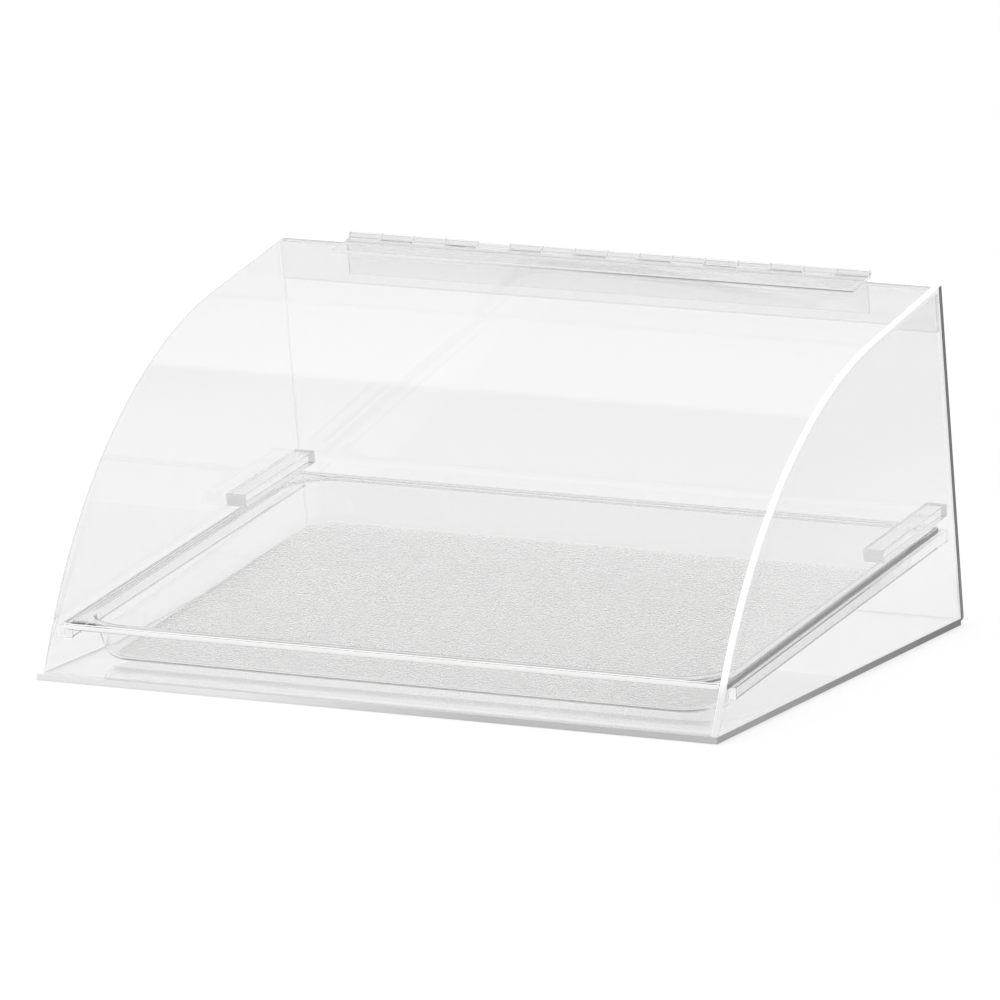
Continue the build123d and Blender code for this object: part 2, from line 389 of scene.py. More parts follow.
class Plastic(Enum):
    """The clear finishes and the edges' painted light and shade, one for each kind of face."""

    SHEET = ClearFinish("clear_sheet_face")
    # painted shade: the strip's tint is darker than the other sheets' to darken it
    STRIP = ClearFinish("clear_strip_face", grey(0.92))
    BAR = ClearFinish("clear_bar_face", haze=0.03, smear=0.05)
    HINGE = ClearFinish("clear_hinge_face", grey(0.998))
    PIN = ClearFinish("hinge_pin_face", grey(0.86), haze=0.08, smear=0.08)
    TRAY = ClearFinish("clear_tray_face", bend=TRAY_BEND, smear=0.03)
    # painted shade: grey tints that darken the tray's rim bend and the foot of its walls
    RIM_SHADE_LINE = ClearFinish("tray_rim_painted_shade", grey(0.5), bend=TRAY_BEND)
    FOOT_SHADE_LINE = ClearFinish("tray_foot_painted_shade", grey(0.15), bend=TRAY_BEND)
    PEBBLE = PebbledFinish("pebbled_tray_face", (0.972, 0.968, 0.965), bend=TRAY_BEND, haze=0.08)
    # painted light and shade on the tray's lip: a glowing front, a dark right side, and a foot dark at
    # its left end that glows further right
    LIP_FRONT = PaintedEdgeShadeAndGlow("tray_front_lip", 0.93, glow=0.36)
    LIP_SIDE = PaintedEdgeShadeAndGlow("tray_side_lip", 0.06, passing=0.2)
    LIP_FOOT = PaintedEdgeShadeAndGlow("tray_lip_foot", 0.08, 0.93, (0, -0.235, -0.19), glow=0.2)
    # painted light and shade on the sheets' edges: emission glows, and greys that darken edges, some
    # fading along an axis
    BRIGHT_EDGE = PaintedEdgeShadeAndGlow("bright_edge", 0.96, glow=0.3)
    CURVED_EDGE = PaintedEdgeShadeAndGlow("bright_curved_edge", 0.96, 0.7, (2, 0.045, 0.03), glow=0.3)
    CUT_EDGE = PaintedEdgeShadeAndGlow("sheet_cut_edge", 0.88, glow=0.1)
    FRONT_EDGE = PaintedEdgeShadeAndGlow("base_front_edge", 0.82, 0.465, (0, -0.1, 0.08), glow=0.27)
    END_EDGE = PaintedEdgeShadeAndGlow("sheet_end_edge", 0.56, 0.12, (1, -0.22, 0.22), passing=0.1)
    TOP_EDGE = PaintedEdgeShadeAndGlow("door_top_edge", 0.8)
    # painted light and shade on the hinge's cut faces: a glowing front edge that darkens to the right
    # below the ceiling, a dark end, glowing cut faces
    LEAF_EDGE = PaintedEdgeShadeAndGlow(
        "hinge_leaf_front_edge", 0.96, 0.34, (0, -0.12, 0.03), glow=0.25, ceiling=0.2508
    )
    LEAF_END = PaintedEdgeShadeAndGlow("hinge_leaf_end", 0.3)
    LEAF_CUT = PaintedEdgeShadeAndGlow("hinge_cut_face", 0.9, glow=0.17)
    SIDE_FOOT_GLOW = PaintedEdgeShadeAndGlow("side_foot_painted_glow", 0.88, glow=0.2)
    FROSTED_GLOW_END = PaintedEdgeShadeAndGlow("frosted_end_painted_glow", 0.9, glow=0.1, passing=0.3)

    def material(self) -> bpy.types.Material:
        """The finish's material, made once."""
        return bpy.data.materials.get(self.value.name) or self.value.build()


# ---------------------------------------------------------------------------
# meshes
# ---------------------------------------------------------------------------
class Piece:
    """One mesh object and the steps that every mesh here goes through."""

    SMOOTH_BELOW = math.radians(13.0)

    def __init__(self, name: str, body: str, slot: str, finishes: Sequence[Plastic]) -> None:
        """Start an empty piece.

        Args:
            name: the object's name.
            body: the CAD body that it rides on.
            slot: the record's material slot.
            finishes: its materials, in slot order.
        """
        self.name = name
        # slot: the name of a material slot; kept on the piece but not used.
        self.body = body
        self.slot = slot
        self.finishes = list(finishes)
        self.form = bmesh.new()

    def vertex(self, x: float, y: float, z: float) -> bmesh.types.BMVert:
        """Add a vertex given in millimetres."""
        return self.form.verts.new((x * MM, y * MM, z * MM))

    def chamfer(self, width: float, above: float = 30.0) -> None:
        """Break every sharp edge.

        Args:
            width: the chamfer's width in millimetres.
            above: edges that turn by more than this many degrees are broken.
        """
        self.form.normal_update()
        sharp = [
            edge
            for edge in self.form.edges
            if len(edge.link_faces) == 2 and edge.calc_face_angle() > math.radians(above)
        ]
        bmesh.ops.bevel(
            self.form, geom=sharp, offset=width * MM, segments=1, profile=0.5, affect="EDGES"
        )

    def join(self, near: list[bmesh.types.BMVert], far: list[bmesh.types.BMVert]) -> None:
        """Close a solid between two outlines with as many corners.

        Args:
            near: corners of the first outline, in order.
            far: corners of the other one, in the same order.
        """
        self.form.faces.new(near)
        self.form.faces.new(list(reversed(far)))
        for index in range(len(near)):
            after = (index + 1) % len(near)
            self.form.faces.new((near[after], near[index], far[index], far[after]))
        bmesh.ops.recalc_face_normals(self.form, faces=self.form.faces)

    def paint(self, chooser: Callable[[bmesh.types.BMFace], Plastic]) -> None:
        """Give each face the finish that chooser(face) names.

        Args:
            chooser: names the finish of one face.
        """
        self.form.normal_update()
        for face in self.form.faces:
            face.material_index = self.finishes.index(chooser(face))

    def done(self, *nodes: str) -> bpy.types.Object:
        """Turn the form into an object that stands for CAD nodes.

        Args:
            nodes: the CAD nodes that it replaces.

        Returns:
            The finished object, riding on its body.
        """
        mesh = bpy.data.meshes.new(self.name)
        self.form.to_mesh(mesh)
        self.form.free()
        for finish in self.finishes:
            mesh.materials.append(finish.material())
        piece = bpy.data.objects.new(self.name, mesh)
        bpy.context.scene.collection.objects.link(piece)
        return settle(piece, self.body, nodes)


def settle(piece: bpy.types.Object, body: str, nodes: Iterable[str]) -> bpy.types.Object:
    """Shade a piece, put it on its body and report it.

    Args:
        piece: a plain mesh object.
        body: the CAD body that it rides on.
        nodes: the CAD nodes that it replaces.

    Returns:
        The same piece.
    """
    mesh = piece.data
    work = bmesh.new()
    work.from_mesh(mesh)
    for face in work.faces:
        face.smooth = True
    for edge in work.edges:
        pair = len(edge.link_faces) == 2
        edge.smooth = pair and edge.calc_face_angle() < Piece.SMOOTH_BELOW
    work.to_mesh(mesh)
    work.free()
    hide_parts(*nodes)
    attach(piece, body)
    LOG.info("%s: %d faces, on %s", piece.name, len(mesh.polygons), body)
    return piece


def extruded(piece: Piece, outline: Sequence[YZ], start: float, end: float) -> None:
    """Fill a piece with a side-view outline drawn out along X.

    Args:
        piece: the piece to fill.
        outline: its corners in order, as (Y, Z) in millimetres.
        start: X of the first end.
        end: X of the other end.
    """
    near = [piece.vertex(start, y, z) for y, z in outline]
    far = [piece.vertex(end, y, z) for y, z in outline]
    piece.join(near, far)


# ---------------------------------------------------------------------------
# side view of the case
# ---------------------------------------------------------------------------
def along(angle: float) -> YZ:
    """Unit step at an angle in degrees from +Y towards +Z."""
    return math.cos(math.radians(angle)), math.sin(math.radians(angle))


def step(point: YZ, direction: YZ, distance: float) -> YZ:
    """The point a distance further on."""
    return point[0] + direction[0] * distance, point[1] + direction[1] * distance


def meet(first: YZ, first_way: YZ, second: YZ, second_way: YZ) -> YZ:
    """Where two lines cross.

    Args:
        first: a point of the first line.
        first_way: its direction.
        second: a point of the second line.
        second_way: its direction.

    Returns:
        The crossing.
    """
    cross = first_way[0] * second_way[1] - first_way[1] * second_way[0]
    gap = second[0] - first[0], second[1] - first[1]
    return step(first, first_way, (gap[0] * second_way[1] - gap[1] * second_way[0]) / cross)


@dataclass(frozen=True)
class CaseProfile:
    """The side view that every sheet of the case follows, and the case's width, in millimetres."""

    width: float = 525.0
    height: float = 254.0
    depth: float = 430.0
    sheet: float = 4.76
    front_angle: float = 65.8
    front_straight: float = 25.2
    roof_slope: float = 10.3
    back_lean: float = 9.6
    front: float = FRONT
    bend_steps: int = 120

    @property
    def foot(self) -> YZ:
        """Foot of the front's outer face."""
        return self.front, self.sheet

    @property
    def back_foot(self) -> YZ:
        """Foot of the open back."""
        return self.front + self.depth, self.sheet

    @property
    def back_up(self) -> YZ:
        """Way up the open back."""
        return along(90.0 + self.back_lean)

    @property
    def back_out(self) -> YZ:
        """Square out of the open back."""
        return along(self.back_lean)

    @property
    def roof_forward(self) -> YZ:
        """Way down the roof to the front."""
        return along(180.0 + self.roof_slope)

    @property
    def roof_out(self) -> YZ:
        """Square out of the roof."""
        return along(90.0 + self.roof_slope)

    @property
    def roof_back(self) -> YZ:
        """Back edge of the roof's outer face."""
        rise = (self.height - self.sheet) / math.cos(math.radians(self.back_lean))
        return step(self.back_foot, self.back_up, rise)

    def line(self, inset: float) -> list[YZ]:
        """The bent line, from its foot to its back edge.

        Args:
            inset: how far inside the outer face it runs.

        Returns:
            Its points, foot first.
        """
        up = along(self.front_angle)
        inwards = along(self.front_angle - 90.0)
        brow = meet(self.foot, up, self.roof_back, self.roof_forward)
        turn = math.radians(self.front_angle - self.roof_slope)
        leg = math.dist(self.foot, brow) - self.front_straight
        radius = leg / math.tan(turn / 2)
        centre = step(step(self.foot, up, self.front_straight), inwards, radius)
        reach = radius - inset
        bend = []
        for index in range(self.bend_steps + 1):
            share = index / self.bend_steps
            angle = 90.0 + self.front_angle + (self.roof_slope - self.front_angle) * share
            bend.append(step(centre, along(angle), reach))
        foot = meet(bend[0], up, self.foot, (1.0, 0.0))
        back = meet(bend[-1], self.roof_forward, self.back_foot, self.back_up)
        return [foot, *bend, back]


# ---------------------------------------------------------------------------
# case
# ---------------------------------------------------------------------------
@dataclass
class CaseShell:
    """Base, sides, curved front and the strip that stiffens the roof's back edge.

    Bonded sheets reach into each other by the bond.
    """

    profile: CaseProfile
    chamfer: float = 0.35
    strip_chamfer: float = 0.2
    bond: float = 0.04
    strip_height: float = 28.6

    def build(self) -> list[bpy.types.Object]:
        """Make every sheet of the case.

        Returns:
            The finished pieces.
        """
        return [
            self.base(),
            self.side("left", -1.0),
            self.side("right", 1.0),
            self.curved_sheet(),
            self.stiffener(),
        ]

    def base(self) -> bpy.types.Object:
        """The flat base, its edges painted with shade and glow.

        Returns:
            The finished base.
        """
        shape = self.profile
        piece = Piece(
            "base_sheet",
            "case",
            "clear_sheet",
            [Plastic.SHEET, Plastic.END_EDGE, Plastic.FRONT_EDGE, Plastic.CUT_EDGE],
        )
        outline = [
            (shape.front, 0.0),
            (shape.front + shape.depth, 0.0),
            (shape.front + shape.depth, shape.sheet),
            (shape.front, shape.sheet),
        ]
        extruded(piece, outline, -shape.width / 2, shape.width / 2)
        piece.chamfer(self.chamfer)

        def finish(face: bmesh.types.BMFace) -> Plastic:
            """Painted shade on the ends, painted shade and glow on the front edge, painted glow on the
            back edge, and clear faces.

            Args:
                face: the face to finish.

            Returns:
                Its finish.
            """
            if abs(face.normal.x) > MAINLY:
                return Plastic.END_EDGE
            if face.normal.y > MAINLY:
                return Plastic.CUT_EDGE
            return Plastic.FRONT_EDGE if face.normal.y < -MAINLY else Plastic.SHEET

        piece.paint(finish)
        return piece.done("base_panel")

    def side(self, hand: str, sign: float) -> bpy.types.Object:
        """One flat side, with a painted glow on the edge along its curve.

        Args:
            hand: left or right.
            sign: -1 for left and 1 for right.

        Returns:
            The finished side.
        """
        shape = self.profile
        piece = Piece(
            f"{hand}_side_sheet",
            "case",
            "clear_sheet",
            [Plastic.SHEET, Plastic.SIDE_FOOT_GLOW, Plastic.BRIGHT_EDGE, Plastic.CURVED_EDGE],
        )
        bent = shape.line(0.0)
        low = shape.sheet - self.bond
        outline = [(bent[0][0], low), *bent, (shape.back_foot[0], low)]
        outer = sign * shape.width / 2
        extruded(piece, outline, outer, outer - sign * shape.sheet)
        piece.chamfer(self.chamfer)

        def finish(face: bmesh.types.BMFace) -> Plastic:
            """Clear faces and edges with painted glow all round, a less bright painted glow at the
            bonded foot, and painted shade low on the right side's edges.

            Args:
                face: the face to finish.

            Returns:
                Its finish.
            """
            if abs(face.normal.x) > SQUARELY:
                return Plastic.SHEET
            if face.normal.z < -SQUARELY:
                return Plastic.SIDE_FOOT_GLOW
            return Plastic.CURVED_EDGE if sign > 0.0 else Plastic.BRIGHT_EDGE

        piece.paint(finish)
        return piece.done(f"{hand}_side_panel")

    def curved_sheet(self) -> bpy.types.Object:
        """The sheet that is front and roof in one.

        Returns:
            The finished sheet.
        """
        shape = self.profile
        piece = Piece(
            "curved_front_sheet",
            "case",
            "clear_sheet",
            [Plastic.SHEET, Plastic.BRIGHT_EDGE, Plastic.CUT_EDGE],
        )
        outer = shape.line(0.0)
        inner = shape.line(shape.sheet)
        low = shape.sheet - self.bond
        half = shape.width / 2 - shape.sheet + self.bond
        outline = [(outer[0][0], low), *outer[1:], *reversed(inner[1:]), (inner[0][0], low)]
        extruded(piece, outline, -half, half)

        def finish(face: bmesh.types.BMFace) -> Plastic:
            """Clear, with painted glow on its bonded ends, its foot and its back edge.

            Args:
                face: the face to finish.

            Returns:
                Its finish.
            """
            if abs(face.normal.x) > SQUARELY:
                return Plastic.BRIGHT_EDGE
            cut = face.normal.y > CLOSELY or face.normal.z < -EXACTLY
            return Plastic.CUT_EDGE if cut else Plastic.SHEET

        piece.paint(finish)
        return piece.done("curved_front_panel")

    def stiffener(self) -> bpy.types.Object:
        """The strip that hangs from the roof's back edge and keeps it straight.

        Returns:
            The finished strip.
        """
        shape = self.profile
        piece = Piece("roof_stiffener", "case", "clear_sheet", [Plastic.STRIP, Plastic.CUT_EDGE])
        back_top = shape.line(shape.sheet - self.bond)[-1]
        front = step(shape.back_foot, shape.back_out, -shape.sheet)
        front_top = meet(front, shape.back_up, back_top, shape.roof_forward)
        back_foot = step(shape.line(shape.sheet)[-1], shape.back_up, -self.strip_height)
        front_foot = step(back_foot, shape.back_out, -shape.sheet)
        half = shape.width / 2 - shape.sheet + self.bond
        extruded(piece, [back_top, front_top, front_foot, back_foot], -half, half)
        piece.chamfer(self.strip_chamfer)
        up = Vector((0.0, *shape.back_up))
        # painted shade: the strip takes its darker tint; its underside takes the cut edge's painted glow
        piece.paint(lambda face: Plastic.CUT_EDGE if face.normal.dot(up) < -MOSTLY else Plastic.STRIP)
        return piece.done("roof_stiffener_bar")


# ---------------------------------------------------------------------------
# door
# ---------------------------------------------------------------------------
@dataclass
class RearDoor:
    """The flat door that hangs over the open back.

    Between plus and minus the covered distance its top edge lies under the hinge.
    """

    profile: CaseProfile
    sheet: float = 4.76
    seat_gap: float = 0.3
    top_gap: float = 0.4
    foot_gap: float = 1.0
    corner: float = 4.0
    corner_steps: int = 8
    chamfer: float = 0.35
    covered: float = 206.5

    @property
    def drop(self) -> float:
        """How far the door runs down past the top of the base."""
        lean = math.radians(self.profile.back_lean)
        return (self.profile.sheet - self.foot_gap + self.seat_gap * math.sin(lean)) / math.cos(lean)

    def outline(self) -> list[YZ]:
        """Corners of the door seen from behind, as (X, distance up from its foot).

        Returns:
            The corners in order, the two at the top first.
        """
        shape = self.profile
        rise = math.dist(shape.back_foot, shape.roof_back) + self.drop
        half = shape.width / 2
        points = [(half, rise), (-half, rise)]
        for sign, start in ((-1.0, 180.0), (1.0, 270.0)):
            centre = sign * (half - self.corner), self.corner
            for index in range(self.corner_steps + 1):
                way = along(start + 90.0 * index / self.corner_steps)
                points.append(step(centre, way, self.corner))
        return points

    def build(self) -> bpy.types.Object:
        """Make the door.

        Returns:
            The finished door.
        """
        shape = self.profile
        piece = Piece(
            "rear_door_sheet",
            "door",
            "clear_sheet",
            [Plastic.SHEET, Plastic.END_EDGE, Plastic.TOP_EDGE, Plastic.CUT_EDGE, Plastic.BRIGHT_EDGE],
        )
        foot = step(shape.back_foot, shape.back_up, -self.drop)
        top_line = step(shape.roof_back, shape.roof_out, -self.top_gap)
        rings = []
        for depth in (self.seat_gap, self.seat_gap + self.sheet):
            start = step(foot, shape.back_out, depth)
            top = meet(top_line, shape.roof_forward, start, shape.back_up)
            height = math.dist(start, top)
            ring = []
            for index, (x, up) in enumerate(self.outline()):
                spot = step(start, shape.back_up, height if index < 2 else up)
                ring.append(piece.vertex(x, *spot))
            rings.append(ring)
        piece.join(*rings)
        piece.chamfer(self.chamfer, above=40.0)
        form = piece.form
        for side in (-1.0, 1.0):
            every = [*form.verts, *form.edges, *form.faces]
            spot = (side * self.covered * MM, 0.0, 0.0)
            bmesh.ops.bisect_plane(form, geom=every, plane_co=spot, plane_no=(1.0, 0.0, 0.0))
        face_way = Vector((0.0, *shape.back_out))

        def finish(face: bmesh.types.BMFace) -> Plastic:
            """Painted shade on the ends, a top edge painted grey as shade with a painted glow where it
            is bare beside the hinge, a painted glow on the foot, and clear faces.

            Args:
                face: the face to finish.

            Returns:
                Its finish.
            """
            if abs(face.normal.dot(face_way)) > SQUARELY:
                return Plastic.SHEET
            if abs(face.normal.x) > MAINLY:
                return Plastic.END_EDGE
            if face.normal.z < 0.0:
                return Plastic.CUT_EDGE
            bare = abs(face.calc_center_median().x) > self.covered * MM
            flat = face.normal.dot(face_way) < SLIGHTLY
            return Plastic.BRIGHT_EDGE if bare and flat else Plastic.TOP_EDGE

        piece.paint(finish)
        return piece.done("rear_door_panel")


# ---------------------------------------------------------------------------
# hinge
# ---------------------------------------------------------------------------
class GeometryTree:
    """Builds one Geometry Nodes tree and applies it."""

    def __init__(self, name: str) -> None:
        """Start a tree with one geometry input and one geometry output.

        Args:
            name: the tree's name.
        """
        self.tree = bpy.data.node_groups.new(name, "GeometryNodeTree")
        self.sockets: dict[str, str] = {}
        self._socket("Geometry", "NodeSocketGeometry")
        self.tree.interface.new_socket("Geometry", in_out="OUTPUT", socket_type="NodeSocketGeometry")
        self.start = self.tree.nodes.new("NodeGroupInput")
        self.end = self.tree.nodes.new("NodeGroupOutput")

    def _socket(self, name: str, kind: str) -> None:
        """Add one named input and keep its identifier."""
        made = self.tree.interface.new_socket(name, in_out="INPUT", socket_type=kind)
        self.sockets[name] = made.identifier

    def number(self, name: str, kind: str = "NodeSocketFloat") -> bpy.types.NodeSocket:
        """Add a named input and give its socket inside the tree."""
        self._socket(name, kind)
        return self.start.outputs[name]

    def node(self, kind: str, values: dict[Any, Any] | None = None, **settings: Any) -> bpy.types.Node:
        """Add a node, with its settings first and then its inputs.

        Args:
            kind: the node's type.
            values: input name or number to a value, a socket or a list of them.
            settings: plain settings, by name.

        Returns:
            The node.
        """
        made = self.tree.nodes.new(kind)
        for key, value in settings.items():
            setattr(made, key, value)
        for key, value in (values or {}).items():
            targets = value if isinstance(value, list) else [value]
            for target in targets:
                if isinstance(target, bpy.types.NodeSocket):
                    self.tree.links.new(target, made.inputs[key])
                else:
                    made.inputs[key].default_value = target
        return made

    def math(self, operation: str, first: Any, second: Any) -> bpy.types.NodeSocket:
        """One Math node."""
        return self.node("ShaderNodeMath", {0: first, 1: second}, operation=operation).outputs[0]

    def spot(self, x: Any = 0.0, y: Any = 0.0, z: Any = 0.0) -> bpy.types.NodeSocket:
        """A vector from three numbers."""
        return self.node("ShaderNodeCombineXYZ", {0: x, 1: y, 2: z}).outputs[0]

    def close(self, geometry: bpy.types.NodeSocket) -> None:
        """Realize the result, give it its material and end the tree.

        Args:
            geometry: the tree's last geometry.
        """
        solid = self.node("GeometryNodeRealizeInstances", {0: geometry})
        painted = self.node(
            "GeometryNodeSetMaterial",
            {"Geometry": solid.outputs[0], "Material": self.number("Material", "NodeSocketMaterial")},
        )
        self.tree.links.new(painted.outputs[0], self.end.inputs[0])

    def apply(self, piece: bpy.types.Object, values: dict[str, Any]) -> None:
        """Run the tree on a piece and keep the result as its plain mesh.

        Args:
            piece: the object that carries the start mesh.
            values: named input to value.
        """
        modifier = piece.modifiers.new(self.tree.name, "NODES")
        modifier.node_group = self.tree
        for name, value in values.items():
            modifier[self.sockets[name]] = value
        bpy.context.view_layer.update()
        graph = bpy.context.evaluated_depsgraph_get()
        result = bpy.data.meshes.new_from_object(piece.evaluated_get(graph), depsgraph=graph)
        piece.modifiers.remove(modifier)
        piece.data = result


class LeafSide(Enum):
    """Which leaf of the hinge a piece is: its first knuckle, body and node."""

    CASE = (0, "case", "hinge_case_leaf")
    DOOR = (1, "door", "hinge_door_leaf")


@dataclass
class ContinuousHinge:
    """Two flat leaves whose knuckles take turns round one long pin.

    The door's outer face stands off the open back by door_face.  The bore is cut with a rod
    of bore_reach double pitches, which runs out at both ends.

    Known fault: the Booleans leave both leaves' meshes open and nearly all the knuckles without
    a bore, and drop the fifth knuckle from the left.  The roof's leaf also differs a little from
    run to run.  The likely cause is that the knuckles' ends lie in the planes of the notches'
    walls.
    """

    profile: CaseProfile
    knuckles: int = 16
    pitch: float = 25.8
    gap: float = 0.5
    radius: float = 2.8
    bore: float = 1.25
    pin: float = 1.2
    pin_chamfer: float = 0.3
    leaf_width: float = 31.0
    leaf_thickness: float = 2.0
    notch: float = 3.3
    door_face: float = 5.06
    facets: int = 40
    pin_facets: int = 24
    bore_reach: float = 20.0

    @property
    def axis(self) -> YZ:
        """The pin's centre in the side view.

        Returns:
            The centre as (Y, Z).
        """
        shape = self.profile
        roof = step(shape.roof_back, shape.roof_out, self.radius)
        door = step(shape.roof_back, shape.back_out, self.door_face + self.radius)
        return meet(roof, shape.roof_forward, door, shape.back_up)

    @property
    def half(self) -> float:
        """Half the hinge's length, without the gap at its end."""
        return self.knuckles * self.pitch / 2 - self.gap / 2

    def tree(self) -> GeometryTree:
        """Geometry Nodes for one leaf: a plate, its knuckles, its notches and its bore.

        Returns:
            The tree, ready to apply.
        """
        made = GeometryTree("hinge_leaf")
        count = made.number("Knuckles", "NodeSocketInt")
        pitch = made.number("Pitch")
        first = made.number("First knuckle")
        other = made.number("First notch")
        length = made.number("Knuckle length")
        room = made.number("Notch length")
        radius = made.number("Knuckle radius")
        bore = made.number("Bore radius")
        reach = made.number("Notch reach")
        axis_y = made.number("Axis Y")
        axis_z = made.number("Axis Z")
        lying = (0.0, math.pi / 2, 0.0)

        def row(start: bpy.types.NodeSocket, shape: bpy.types.NodeSocket) -> bpy.types.NodeSocket:
            """The same shape at every second place along the hinge.

            Args:
                start: X of the first place.
                shape: the geometry to repeat.

            Returns:
                The whole row.
            """
            line = made.node(
                "GeometryNodeMeshLine",
                {
                    "Count": count,
                    "Start Location": made.spot(start, axis_y, axis_z),
                    "Offset": made.spot(pitch),
                },
                mode="OFFSET",
            )
            placed = made.node(
                "GeometryNodeInstanceOnPoints", {"Points": line.outputs[0], "Instance": shape}
            )
            return made.node("GeometryNodeRealizeInstances", {0: placed.outputs[0]}).outputs[0]

        def rod(size: bpy.types.NodeSocket, long: bpy.types.NodeSocket) -> bpy.types.NodeSocket:
            """A rod along X.

            Args:
                size: its radius.
                long: its length.

            Returns:
                The rod.
            """
            round_bar = made.node(
                "GeometryNodeMeshCylinder",
                {"Vertices": self.facets, "Radius": size, "Depth": long},
            )
            turned = made.node(
                "GeometryNodeTransform", {"Geometry": round_bar.outputs[0], "Rotation": lying}
            )
            return turned.outputs[0]

        wide = made.math("MULTIPLY", reach, 2.0)
        block = made.node("GeometryNodeMeshCube", {"Size": made.spot(room, wide, wide)})
        plate = made.node(
            "GeometryNodeMeshBoolean",
            {"Mesh 1": made.start.outputs["Geometry"], "Mesh 2": row(other, block.outputs[0])},
            operation="DIFFERENCE",
        )
        whole = made.node(
            "GeometryNodeMeshBoolean",
            {"Mesh 2": [plate.outputs[0], row(first, rod(radius, length))]},
            operation="UNION",
        )
        hole = made.node(
            "GeometryNodeTransform",
            {
                "Geometry": rod(bore, made.math("MULTIPLY", pitch, self.bore_reach)),
                "Translation": made.spot(0.0, axis_y, axis_z),
            },
        )
        bored = made.node(
            "GeometryNodeMeshBoolean",
            {"Mesh 1": whole.outputs[0], "Mesh 2": hole.outputs[0]},
            operation="DIFFERENCE",
        )
        made.close(bored.outputs[0])
        return made

    def leaf(self, tree: GeometryTree, side: LeafSide) -> bpy.types.Object:
        """Make one leaf.

        Args:
            tree: the leaf's Geometry Nodes tree.
            side: which leaf it is.

        Returns:
            The finished leaf.
        """
        first, body, node = side.value
        shape = self.profile
        on_roof = side is LeafSide.CASE
        inward = shape.roof_out if on_roof else shape.back_out
        way = shape.roof_forward if on_roof else (-shape.back_up[0], -shape.back_up[1])
        root = step(self.axis, inward, -self.radius)
        edge = step(root, way, self.leaf_width)
        plate = Piece(f"{node}_moulding", body, "clear_hinge", [Plastic.HINGE])
        outline = [
            root,
            edge,
            step(edge, inward, self.leaf_thickness),
            step(root, inward, self.leaf_thickness),
        ]
        extruded(plate, outline, -self.half, self.half)
        mesh = bpy.data.meshes.new(plate.name)
        plate.form.to_mesh(mesh)
        plate.form.free()
        piece = bpy.data.objects.new(plate.name, mesh)
        bpy.context.scene.collection.objects.link(piece)
        start = -self.knuckles * self.pitch / 2 + self.pitch / 2
        tree.apply(
            piece,
            {
                "Knuckles": self.knuckles // 2,
                "Pitch": 2 * self.pitch * MM,
                "First knuckle": (start + first * self.pitch) * MM,
                "First notch": (start + (1 - first) * self.pitch) * MM,
                "Knuckle length": (self.pitch - self.gap) * MM,
                "Notch length": (self.pitch + self.gap) * MM,
                "Knuckle radius": self.radius * MM,
                "Bore radius": self.bore * MM,
                "Notch reach": self.notch * MM,
                "Axis Y": self.axis[0] * MM,
                "Axis Z": self.axis[1] * MM,
                "Material": Plastic.HINGE.material(),
            },
        )
        self.paint_cuts(piece, on_roof, edge)
        return settle(piece, body, [node])

    def paint_cuts(self, leaf: bpy.types.Object, on_roof: bool, edge: YZ) -> None:
        """Paint light and shade onto the cut faces of a leaf: a painted shade line with painted glow
        along the roof leaf's free edge, painted shade on the door leaf's lowest end, and painted glow on
        the other cut faces.

        Args:
            leaf: the finished leaf.
            on_roof: true for the leaf that lies on the roof.
            edge: the foot of its free edge in the side view.
        """
        first = len(leaf.data.materials)
        for coat in (Plastic.LEAF_EDGE, Plastic.LEAF_END, Plastic.LEAF_CUT):
            leaf.data.materials.append(coat.material())
        ahead = Vector((0.0, *self.profile.roof_forward))
        reach = (edge[0] + self.leaf_thickness / 4) * MM
        left = (self.leaf_thickness / 2 - self.half) * MM
        level = (self.axis[1] - self.radius) * MM
        for face in leaf.data.polygons:
            facing = face.normal.dot(ahead)
            lowest_end = face.normal.x < -CLOSELY and face.center.x < left and face.center.z < level
            if on_roof and facing > CLOSELY and face.center.y < reach:
                face.material_index = first
            elif lowest_end and not on_roof:
                face.material_index = first + 1
            elif abs(face.normal.x) > CLOSELY or (on_roof and facing < -EXACTLY):
                face.material_index = first + 2

    def rod(self) -> bpy.types.Object:
        """The pin, with eased ends.

        Returns:
            The finished pin.
        """
        piece = Piece("hinge_pin_rod", "case", "hinge_pin", [Plastic.PIN])
        turns = [360.0 * index / self.pin_facets for index in range(self.pin_facets)]
        ring = [step(self.axis, along(turn), self.pin) for turn in turns]
        extruded(piece, ring, -self.half, self.half)
        piece.chamfer(self.pin_chamfer, above=60.0)
        piece.paint(lambda face: Plastic.PIN)
        return piece.done("hinge_pin")

    def build(self) -> list[bpy.types.Object]:
        """Make both leaves and the pin.

        Returns:
            The finished pieces.
        """
        tree = self.tree()
        return [self.leaf(tree, LeafSide.CASE), self.leaf(tree, LeafSide.DOOR), self.rod()]


# ---------------------------------------------------------------------------
# tray and what carries it
# ---------------------------------------------------------------------------
@dataclass(frozen=True)
class SlopingPlace:
    """The tray's own plane: X across, L along the slope from the front rim, H above it."""

    front: float = FRONT + 24.5
    height: float = 36.3
    slope: float = 6.34

    def at(self, x: float, length: float, high: float) -> Spot:
        """A point of the plane in the case's frame.

        Args:
            x: place across.
            length: place along the slope.
            high: height above it.

        Returns:
            The point as (X, Y, Z).
        """
        turn = math.radians(self.slope)
        y = self.front + length * math.cos(turn) - high * math.sin(turn)
        z = self.height + length * math.sin(turn) + high * math.cos(turn)
        return x, y, z


@dataclass(frozen=True)
class Ring:
    """One rounded rectangle of the tray: how far in from the rim, how high, how round.

    The finish is that of the band between this ring and the next one.
    """

    inset: float
    high: float
    corner: float
    finish: Plastic = Plastic.TRAY


